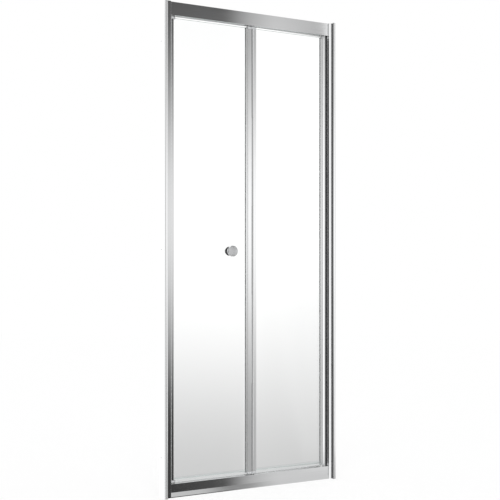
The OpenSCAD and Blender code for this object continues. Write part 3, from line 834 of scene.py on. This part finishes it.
class SHOWERDOOR_OT_glass_gaskets(Operator):
    """Build the channel gaskets between the panes and the stiles"""

    bl_idname = "shower_door.glass_gaskets"
    bl_label = "Glass gaskets"

    def execute(self, context):
        sizes = context.scene.shower_door_sizes
        vinyl = clear_vinyl(
            "gasket_vinyl", "Z", (0.82, 0.83, 0.83), (0.88, 0.89, 0.89), 0.92, 0.12, 1.52
        )
        wall = 0.0009
        depth = 0.00895
        far_wall = 0.006
        width = 0.0069
        channel = [
            (0, 0), (depth, 0), (depth, wall), (wall, wall),
            (wall, far_wall), (depth, far_wall), (depth, width), (0, width),
        ]
        outline = round_corners(channel, sizes.seal_edge)
        for node in ("lead_leaf_gaskets", "pivot_leaf_gaskets"):
            low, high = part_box(node)
            places = [upright_at(low.x, 1, low.y), upright_at(high.x, -1, low.y)]
            name = node + "_channels"
            strip_piece(name, outline, places, low.z, high.z, node, vinyl)
        return {"FINISHED"}


class SHOWERDOOR_OT_drip_seals(Operator):
    """Build the seals that grip the glass and hang two fins over the bottom rail"""

    bl_idname = "shower_door.drip_seals"
    bl_label = "Drip seals"

    def execute(self, context):
        sizes = context.scene.shower_door_sizes
        vinyl = clear_vinyl(
            "drip_seal_vinyl", "X", (0.96, 0.97, 0.97), (0.98, 0.99, 0.99), 1.0, 0.06, 1.2
        )
        for node in ("lead_drip_seal", "pivot_drip_seal"):
            low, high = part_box(node)
            width = high.y - low.y
            rise = high.z - low.z
            base = 0.00995
            under = base - 0.0006
            floor = base + 0.0012
            wall = 0.00115
            tip = 0.0004
            fin = 0.0008
            profile = [
                (0, 0), (tip, 0), (fin, under), (width - fin, under),
                (width - tip, 0), (width, 0), (width, rise), (width - wall, rise),
                (width - wall, floor), (wall, floor), (wall, rise), (0, rise),
            ]
            outline = round_corners(profile, sizes.seal_edge)

            def place(u, v, run, low=low):
                return (run, low.y + u, low.z + v)

            name = node + "_fins"
            strip_piece(name, outline, [place], low.x, high.x, node, vinyl)
        return {"FINISHED"}


class SHOWERDOOR_OT_closing_magnets(Operator):
    """Build the two magnet strips that meet when the door is shut"""

    bl_idname = "shower_door.closing_magnets"
    bl_label = "Closing magnets"

    def execute(self, context):
        sizes = context.scene.shower_door_sizes
        vinyl = soft_vinyl(
            "magnet_strip_vinyl", (0.2, 0.205, 0.21), (0.25, 0.255, 0.26), 0.45, "Z"
        )
        for node, way in (("jamb_magnet_strip", 1), ("leaf_magnet_strip", -1)):
            low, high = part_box(node)
            start = low.x if way > 0 else high.x
            thick = high.x - low.x
            wide = high.y - low.y
            lip = thick * 0.6
            groove = lip * 0.8
            profile = [
                (0, 0), (lip, 0), (lip, wide * 0.16), (groove, wide * 0.19),
                (groove, wide * 0.23), (thick, wide * 0.27), (thick, wide * 0.73),
                (groove, wide * 0.77), (groove, wide * 0.81), (lip, wide * 0.84),
                (lip, wide), (0, wide),
            ]
            outline = round_corners(profile, sizes.seal_edge)
            places = [upright_at(start, way, low.y)]
            name = node + "_ribbed"
            strip_piece(name, outline, places, low.z, high.z, node, vinyl)
        return {"FINISHED"}


class SHOWERDOOR_OT_gap_seals(Operator):
    """Build the fin behind the fold and the bulb seal beside the pivot stile"""

    bl_idname = "shower_door.gap_seals"
    bl_label = "Gap seals"

    def execute(self, context):
        sizes = context.scene.shower_door_sizes
        vinyl = soft_vinyl("gap_seal_vinyl", (0.03, 0.03, 0.032), (0.045, 0.045, 0.048), 0.5, "Z")
        node = "fold_seal"
        low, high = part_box(node)
        middle = (low.y + high.y) / 2
        foot = 0.001
        half = 0.003
        root = 0.00075
        tip = 0.0004
        fin = high.x - low.x
        profile = [
            (0, -half), (foot, -half), (foot, -root), (fin, -tip),
            (fin, tip), (foot, root), (foot, half), (0, half),
        ]
        outline = round_corners(profile, sizes.seal_edge)
        places = [upright_at(high.x, -1, middle)]
        strip_piece(node + "_fin", outline, places, low.z, high.z, node, vinyl)

        node = "pivot_side_seal"
        low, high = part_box(node)
        middle = (low.y + high.y) / 2
        bulb = high.x - low.x - foot
        half = 0.006
        shoulder = 0.0056
        rim = 0.0007
        outline = [(0, -half), (rim, -half), (foot, -shoulder)]
        outline += edge_round((foot, 0), bulb, -90, 90, 16)
        outline += [(foot, shoulder), (rim, half), (0, half)]
        places = [upright_at(high.x, -1, middle)]
        strip_piece("pivot_side_bulb", outline, places, low.z, high.z, node, vinyl)
        return {"FINISHED"}


class SHOWERDOOR_OT_moulded_parts(Operator):
    """Give the end caps, pivot blocks and guide shoes their moulded finish"""

    bl_idname = "shower_door.moulded_parts"
    bl_label = "Moulded parts"

    def execute(self, context):
        grey = moulded_plastic("cap_plastic", (0.56, 0.57, 0.58), (0.62, 0.63, 0.64), 0.38)
        white = moulded_plastic("runner_plastic", (0.78, 0.78, 0.77), (0.84, 0.84, 0.83), 0.42)
        for node in GREY_CAPS:
            dress(node, grey)
        for node in WHITE_RUNNERS:
            dress(node, white)
        return {"FINISHED"}


class SHOWERDOOR_OT_screws_and_pins(Operator):
    """Give the screws and pins their steel finish and build the domed screw caps"""

    bl_idname = "shower_door.screws_and_pins"
    bl_label = "Screws and pins"

    def execute(self, context):
        sizes = context.scene.shower_door_sizes
        steel = brushed_steel("machined_steel")
        for node in STEEL_PARTS:
            dress(node, steel)
        node = "jamb_screw_caps"
        low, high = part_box(node)
        rise = high.y - low.y
        reach = 0.005
        stem = 0.00325
        hollow = 0.00225
        rim = 0.0011
        outline = [(0, hollow), (stem, hollow), (stem, 0), (reach, 0), (reach, 0.0009)]
        outline += edge_round((reach - rim, rim), rim, 10, 58, 4)
        outline += curve_points((0.0041, 0.00232), (0.0026, rise), (0, rise), 8)
        centres = [
            Vector((side_x, low.y, height))
            for side_x in (low.x + reach, high.x - reach)
            for height in (low.z + reach, (low.z + high.z) / 2, high.z - reach)
        ]
        steps = sizes.turned_steps // 2
        plastic = moulded_plastic("screw_dome_plastic", (0.6, 0.6, 0.6), (0.66, 0.66, 0.66), 0.3)
        turn_piece(
            "jamb_screw_domes", outline, centres, INWARD, steps, node, plastic
        )
        return {"FINISHED"}


class SHOWERDOOR_OT_knob(Operator):
    """Turn the knob, its black ring and washer, and the plate on the inside"""

    bl_idname = "shower_door.knob"
    bl_label = "Knob"

    def execute(self, context):
        sizes = context.scene.shower_door_sizes
        steps = sizes.turned_steps
        low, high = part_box("knob")
        glass_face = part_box("knob_ring")[1].y
        centre = Vector(((low.x + high.x) / 2, glass_face, (low.z + high.z) / 2))
        chrome = turned_chrome("turned_chrome", tuple(centre))
        rubber = moulded_plastic("knob_rubber", (0.012, 0.012, 0.013), (0.02, 0.02, 0.021), 0.42)

        def turn(name, outline, place, axis, slot, node, material):
            turn_piece(name, outline, [place], axis, steps, node, material)

        # Each outline is a list of (radius, height over the glass or over the piece's own foot).
        bore = 0.00255
        thread = 0.016
        ring = 0.004
        neck = 0.0085
        head = 0.021
        edge = 0.0016
        reach = glass_face - low.y
        back = reach - 0.010
        dish = reach - sizes.knob_dish
        outline = [(0, thread), (bore, thread), (bore, ring), (0.0121, ring)]
        outline += edge_round((0.0121, ring + 0.0004), 0.0004, -60, 0, 3)
        outline += [(0.0125, ring + 0.001)]
        outline += curve_points((0.012, ring + 0.0014), (0.0086, ring + 0.003), (neck, 0.0115), 10)
        outline += curve_points((neck, 0.0155), (0.0086, back - 0.0012), (0.0136, back), 10)
        outline += [(head - edge, back)]
        outline += edge_round((head - edge, back + edge), edge, -75, 0, 6)
        outline += edge_round((head - edge, reach - edge), edge, 0, 90, 8)
        outline += [(0.0182, reach), (0.0178, reach - 0.00012)]
        outline += curve_points((0.0172, reach - 0.0004), (0.0095, dish), (0, dish), 12)
        turn("knob_turned", outline, centre, OUTWARD, "chromed_brass", "knob", chrome)

        outline = [(bore, 0), (0.0171, 0), (0.0175, 0.0004)]
        outline += [(0.0175, 0.0017), (0.0171, 0.002), (0.0175, 0.0023)]
        outline += edge_round((0.0167, 0.0032), 0.0008, 0, 90, 5)
        outline += [(0.0132, ring), (0.0129, ring - 0.0003), (0.0126, ring), (bore, ring)]
        turn("knob_ring_moulded", outline, centre, OUTWARD, "black_rubber", "knob_ring", rubber)

        node = "knob_inner_washer"
        low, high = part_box(node)
        foot = Vector((centre.x, low.y, centre.z))
        thick = high.y - low.y
        ease = 0.00025
        outline = [(bore, 0), (0.01375, 0), (0.014, ease), (0.014, thick - ease)]
        outline += [(0.01375, thick), (bore, thick)]
        turn(node + "_moulded", outline, foot, INWARD, "black_rubber", node, rubber)

        node = "knob_back_plate"
        low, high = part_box(node)
        foot = Vector((centre.x, low.y, centre.z))
        thick = high.y - low.y
        rim = 0.0012
        recess = 0.00505
        outline = [(bore, 0), (0.0147, 0), (0.015, 0.0003), (0.015, thick - rim)]
        outline += edge_round((0.0138, thick - rim), rim, 15, 90, 6)
        outline += [(0.0060, thick), (0.0055, thick - 0.0003), (recess, thick - 0.0004)]
        outline += [(recess, thick - 0.0025), (bore, thick - 0.0025)]
        turn(node + "_turned", outline, foot, INWARD, "chromed_brass", node, chrome)
        return {"FINISHED"}


class SHOWERDOOR_OT_studio(Operator):
    """Set the pale floor, the soft light and the camera"""

    bl_idname = "shower_door.studio"
    bl_label = "Studio"

    def execute(self, context):
        studio = context.scene.shower_door_studio
        add_floor(studio.floor_radius)
        light_studio(studio.soft_light)
        add_key_lamp(studio.key_light)
        add_camera(context.scene, studio.camera_bearing, studio.camera_lens)
        context.scene.view_settings.view_transform = "Standard"
        return {"FINISHED"}


def add_floor(radius):
    """A pale floor that keeps the door's shadow, and that metal and glass see through."""
    drop = 0.0002
    white_share = 0.75
    shape = bmesh.new()
    bmesh.ops.create_circle(shape, cap_ends=True, segments=96, radius=radius)
    floor = bpy.data.objects.new("studio_floor", mesh_from(shape, "studio_floor"))
    floor.location = (0, 0, -drop)
    bpy.context.scene.collection.objects.link(floor)
    material = bpy.data.materials.new("pale_floor")
    wiring = Wiring(material)
    mottle = wiring.noise(wiring.object_place(), 3.0, detail=4.0)
    matt = wiring.add("ShaderNodeBsdfDiffuse")
    colour = wiring.blend_colour(mottle, (0.93, 0.93, 0.93), (0.95, 0.95, 0.95))
    wiring.link(colour, matt.inputs["Color"])
    lit = wiring.add("ShaderNodeEmission")
    lit.inputs["Color"].default_value = (1, 1, 1, 1)
    lit.inputs["Strength"].default_value = 1.0
    ray = wiring.add("ShaderNodeLightPath")
    white = wiring.sum("MULTIPLY", ray.outputs["Is Camera Ray"], white_share)
    seen = wiring.choose(white, matt.outputs[0], lit.outputs[0])
    passing = wiring.add("ShaderNodeBsdfTransparent")
    through = wiring.sum(
        "MAXIMUM", ray.outputs["Is Glossy Ray"], ray.outputs["Is Transmission Ray"]
    )
    out = wiring.add("ShaderNodeOutputMaterial")
    wiring.link(wiring.choose(through, seen, passing.outputs[0]), out.inputs["Surface"])
    give(floor, material)


def light_studio(soft_light):
    """White surroundings: even for matt surfaces, with lit panels and dark flags for metal.

    Bearings are in degrees from straight in front of the door, positive towards its pivot
    side, and heights in degrees over the horizon. Each table gives levels by bearing.
    """
    world = bpy.data.worlds.new("studio")
    bpy.context.scene.world = world
    wiring = Wiring(world)
    heading = wiring.add("ShaderNodeTexCoord").outputs["Generated"]
    apart = wiring.add("ShaderNodeSeparateXYZ")
    wiring.link(heading, apart.inputs[0])
    degrees = 180 / math.pi
    height = wiring.sum("MULTIPLY", wiring.sum("ARCSINE", apart.outputs["Z"]), degrees)
    front = wiring.sum("MULTIPLY", apart.outputs["Y"], -1.0)
    turned = wiring.sum("ARCTAN2", apart.outputs["X"], front)
    bearing = wiring.sum("MULTIPLY", turned, degrees)
    turn = wiring.span(bearing, -180, 180, 0, 1)

    def around(*stops):
        return wiring.levels(turn, [((place + 180) / 360, level) for place, level in stops])

    # A colour ramp takes 32 stops at most, and these three tables have them all.
    flags_above = around(
        (-180, 0.68), (-153.6, 1.25), (-152.8, 0.44), (-149, 0.3), (-147.6, 0.58), (-140, 0.5),
        (-125, 0.08), (-52, 0.08), (-49, 0.28), (-42.5, 0.28), (-40, 0.08), (-36, 0.08),
        (-32, 1.1), (-10, 1.1), (-6, 0.5), (6, 0.5), (9, 1.1), (20, 1.1),
        (23, 0.09), (27.3, 0.13), (29.2, 0.1), (29.7, 0.66), (31.8, 0.63), (33.2, 0.42),
        (60, 0.5), (100, 0.08), (117, 0.08), (124, 0.46), (141, 0.52), (143, 0.1),
        (146.9, 0.08), (148, 0.66),
    )
    flags_below = around(
        (-180, 0.7), (-153.6, 1.25), (-152.8, 0.28), (-149, 0.4), (-147.6, 0.56), (-140, 0.5),
        (-125, 0.07), (-52, 0.07), (-49, 0.24), (-42.5, 0.24), (-40, 0.08), (-36, 0.08),
        (-32, 1.1), (-10, 1.1), (-6, 0.42), (6, 0.42), (9, 1.1), (20, 1.1),
        (23, 0.04), (24.5, 0.04), (29.2, 0.1), (29.7, 0.68), (60, 0.4), (100, 0.06),
        (117, 0.06), (124, 0.4), (141, 0.46), (143, 0.05), (146.9, 0.04), (148, 1.25),
        (155.6, 1.25), (157, 0.74),
    )
    panels = around(
        (-180, 0.72), (-153.6, 1.3), (-152.8, 0.98), (-149, 0.8), (-145, 0.8), (-140, 0.6),
        (-125, 0.16), (-52, 0.08), (-49, 0.36), (-42.5, 0.36), (-40, 0.08), (-36, 0.08),
        (-32, 1.1), (-10, 1.1), (-6, 0.7), (6, 0.7), (9, 1.1), (20, 1.1),
        (23, 0.8), (25, 0.8), (28, 1.0), (29.5, 1.1), (40, 1.1), (60, 0.8),
        (100, 0.1), (117, 0.1), (124, 0.5), (141, 0.56), (143, 0.07), (146.9, 0.05),
        (148, 0.68), (179, 0.72),
    )
    overhead = around(
        (-180, 0.64), (26, 0.6), (29.6, 0.58), (30.8, 0.27), (32.2, 0.25), (33, 0.66), (40, 0.64)
    )

    # Metal sees the panels in a band round the horizon, with the flags over and under it.
    clear_from = wiring.span(bearing, 33.5, 34.0, 3.0, 14.8)
    clear_to = wiring.span(bearing, 33.5, 34.0, 14.6, 16.5)
    fade_from = wiring.span(bearing, 30.5, 32.5, -9.5, -11.6)
    fade_to = wiring.span(bearing, 30.5, 32.5, 2.5, -9.6)
    above = wiring.span(height, clear_from, clear_to, 1.0, 0.0, "SMOOTHSTEP")
    below = wiring.span(height, fade_from, fade_to, 0.0, 1.0, "SMOOTHSTEP")
    band = wiring.sum("MULTIPLY", wiring.sum("MULTIPLY", above, below), panels)
    top = wiring.sum("MULTIPLY", wiring.sum("SUBTRACT", 1.0, above), flags_above)
    bottom = wiring.sum("MULTIPLY", wiring.sum("SUBTRACT", 1.0, below), flags_below)
    seen_in_metal = wiring.sum("ADD", wiring.sum("ADD", top, bottom), band)

    # High up it sees the ceiling, and far down the ground.
    high = wiring.span(height, 17.0, 23.0, 0.0, 1.0, "SMOOTHSTEP")
    ground = wiring.span(height, -30.0, -20.0, 0.6, 0.0, "SMOOTHSTEP")
    seen_in_metal = wiring.sum("MULTIPLY", seen_in_metal, wiring.sum("SUBTRACT", 1.0, high))
    seen_in_metal = wiring.sum("ADD", seen_in_metal, wiring.sum("MULTIPLY", overhead, high))
    seen_in_metal = wiring.sum("MAXIMUM", seen_in_metal, ground)

    # Glass shows white above and pale grey below, darker round one bearing.
    dimmer = around((110, 0.0), (142, 1.0), (148.4, 1.0), (151.2, 0.0))
    dim_from = wiring.span(dimmer, 0.0, 1.0, -12.5, -14.5)
    dim_to = wiring.span(dimmer, 0.0, 1.0, -1.5, 2.0)
    dimmest = wiring.span(dimmer, 0.0, 1.0, 0.66, 0.56)
    seen_in_glass = wiring.span(height, dim_from, dim_to, dimmest, 1.08, "SMOOTHSTEP")

    def glow_of(strength):
        made = wiring.add("ShaderNodeBackground")
        made.inputs["Color"].default_value = (1, 1, 1, 1)
        wiring.feed(made.inputs["Strength"], strength)
        return made.outputs[0]

    ray = wiring.add("ShaderNodeLightPath")
    mirrored = wiring.sum("GREATER_THAN", ray.outputs["Glossy Depth"], 0.5)
    light = wiring.choose(mirrored, glow_of(seen_in_glass), glow_of(seen_in_metal))
    light = wiring.choose(ray.outputs["Is Diffuse Ray"], light, glow_of(soft_light))
    light = wiring.choose(ray.outputs["Is Camera Ray"], light, glow_of(1.0))
    out = wiring.add("ShaderNodeOutputWorld")
    wiring.link(light, out.inputs["Surface"])
    world.cycles.sampling_method = "NONE"


def add_key_lamp(strength):
    """A wide lamp high behind the camera, so that the shadow falls behind the door."""
    spread = 26
    fall = 60
    lamp = bpy.data.lights.new("key_lamp", "SUN")
    lamp.energy = strength
    lamp.angle = math.radians(spread)
    key = bpy.data.objects.new("key_lamp", lamp)
    travel = Vector((0.484, 0.875, -math.tan(math.radians(fall))))
    key.rotation_euler = travel.to_track_quat("-Z", "Y").to_euler()
    key.location = (-1.2, -2.0, 3.2)
    bpy.context.scene.collection.objects.link(key)


def add_camera(scene, bearing, lens):
    """A level camera at the photograph's place, shifted up a little to take in the door."""
    data = bpy.data.cameras.new("studio_camera")
    data.sensor_width = 36.0
    data.lens = lens
    data.shift_y = 0.0332
    data.clip_start = 0.05
    data.clip_end = 60.0
    camera = bpy.data.objects.new("studio_camera", data)
    camera.location = (-1.9547, -3.4491, 0.8613)
    camera.rotation_euler = (math.radians(90), 0, -bearing)
    scene.collection.objects.link(camera)
    scene.camera = camera


class SHOWERDOOR_PT_pieces(Panel):
    """Buttons that finish the pieces one group at a time"""

    bl_idname = "SHOWERDOOR_PT_pieces"
    bl_label = "Shower door"
    bl_space_type = "VIEW_3D"
    bl_region_type = "UI"
    bl_category = "Shower door"

    def draw(self, context):
        layout = self.layout
        sizes = context.scene.shower_door_sizes
        studio = context.scene.shower_door_studio
        for key in ShowerDoorSizes.__annotations__:
            layout.prop(sizes, key)
        for piece in PIECES:
            layout.operator(piece.bl_idname)
        for key in ShowerDoorStudio.__annotations__:
            layout.prop(studio, key)
        layout.operator(SHOWERDOOR_OT_studio.bl_idname)


PIECES = (
    SHOWERDOOR_OT_wall_frame,
    SHOWERDOOR_OT_leaf_stiles,
    SHOWERDOOR_OT_glass_panes,
    SHOWERDOOR_OT_glass_gaskets,
    SHOWERDOOR_OT_drip_seals,
    SHOWERDOOR_OT_closing_magnets,
    SHOWERDOOR_OT_gap_seals,
    SHOWERDOOR_OT_moulded_parts,
    SHOWERDOOR_OT_screws_and_pins,
    SHOWERDOOR_OT_knob,
)
CLASSES = (ShowerDoorSizes, ShowerDoorStudio, *PIECES, SHOWERDOOR_OT_studio, SHOWERDOOR_PT_pieces)


def register():
    for made in CLASSES:
        bpy.utils.register_class(made)
    bpy.types.Scene.shower_door_sizes = PointerProperty(type=ShowerDoorSizes)
    bpy.types.Scene.shower_door_studio = PointerProperty(type=ShowerDoorStudio)


def unregister():
    del bpy.types.Scene.shower_door_studio
    del bpy.types.Scene.shower_door_sizes
    for made in reversed(CLASSES):
        bpy.utils.unregister_class(made)


def main():
    register()
    bpy.ops.shower_door.wall_frame()
    bpy.ops.shower_door.leaf_stiles()
    bpy.ops.shower_door.glass_panes()
    bpy.ops.shower_door.glass_gaskets()
    bpy.ops.shower_door.drip_seals()
    bpy.ops.shower_door.closing_magnets()
    bpy.ops.shower_door.gap_seals()
    bpy.ops.shower_door.moulded_parts()
    bpy.ops.shower_door.screws_and_pins()
    bpy.ops.shower_door.knob()
    bpy.ops.shower_door.studio()


if __name__ == "__main__":
    main()
